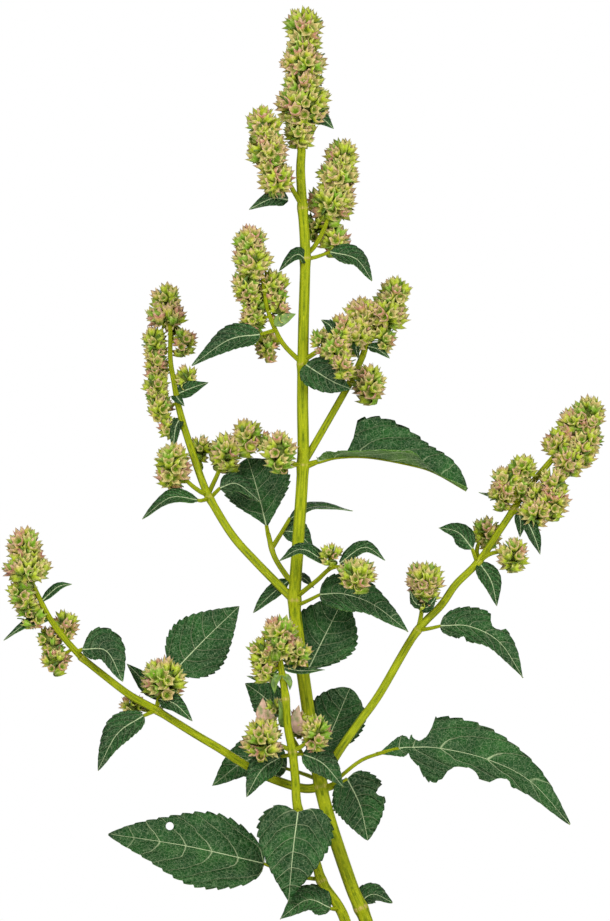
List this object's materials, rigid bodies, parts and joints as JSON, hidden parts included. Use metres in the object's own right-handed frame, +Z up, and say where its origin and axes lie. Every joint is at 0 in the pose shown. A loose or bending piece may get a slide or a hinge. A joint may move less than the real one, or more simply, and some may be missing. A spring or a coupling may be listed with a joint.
{
  "type": "potted plant",
  "caption": "Upright branching herb with toothed leaves and dense spiky flower whorls, growing from soil in a plain round clay pot.",
  "frame": {"origin": "centre of the pot's flat underside", "axes": "+Z up along the plant, -Y towards the viewer of the picture, +X to the viewer's right"},
  "size_m": [0.3006, 0.16, 0.6165],
  "materials": {
    "clay": "matte unglazed clay",
    "soil": "loose crumbly potting soil",
    "stem": "satin yellow-green, ribbed",
    "flower_head": "matte green calyxes with pink-tan teeth",
    "leaf": "satin dark green with pale veins"
  },
  "bodies": {
    "root": {"pot": "clay", "soil": "soil", "main_stem": "stem", "front_stem": "stem", "left_upper_branch": "stem", "left_lower_branch": "stem", "right_branch": "stem", "upper_right_branch": "stem", "back_shoot": "stem", "head_top": "flower_head", "head_top_left": "flower_head", "head_top_right": "flower_head", "head_upper_left": "flower_head", "head_upper_right": "flower_head", "head_middle_right": "flower_head", "head_small_right": "flower_head", "head_left_spike": "flower_head", "head_left_low": "flower_head", "head_left_inner": "flower_head", "head_beside_stem": "flower_head", "head_centre": "flower_head", "head_far_left": "flower_head", "head_left_node": "flower_head", "head_left_tuft": "flower_head", "head_right_node": "flower_head", "head_right_behind": "flower_head", "head_right_below": "flower_head", "head_right_upper": "flower_head", "head_right_lower": "flower_head", "head_right_spike": "flower_head", "head_front": "flower_head", "head_front_left": "flower_head", "head_front_right": "flower_head", "leaf_top_right": "leaf", "leaf_top_front": "leaf", "leaf_upper_front": "leaf", "leaf_upper_left": "leaf", "leaf_right_folded": "leaf", "leaf_left_node": "leaf", "leaf_inner_node": "leaf", "leaf_behind_centre": "leaf", "leaf_centre_right": "leaf", "leaf_behind_middle": "leaf", "leaf_far_left": "leaf", "leaf_left_upright": "leaf", "leaf_left_hanging": "leaf", "leaf_right_node": "leaf", "leaf_right_upper": "leaf", "leaf_right_small": "leaf", "leaf_front_left": "leaf", "leaf_front_right": "leaf", "leaf_behind_low_left": "leaf", "leaf_behind_mid_left": "leaf", "leaf_behind_right": "leaf", "leaf_low_right_long": "leaf", "leaf_low_right": "leaf", "leaf_heart": "leaf", "leaf_low_left_large": "leaf", "leaf_bottom_left": "leaf", "leaf_bottom_right": "leaf"}
  },
  "joints": []
}
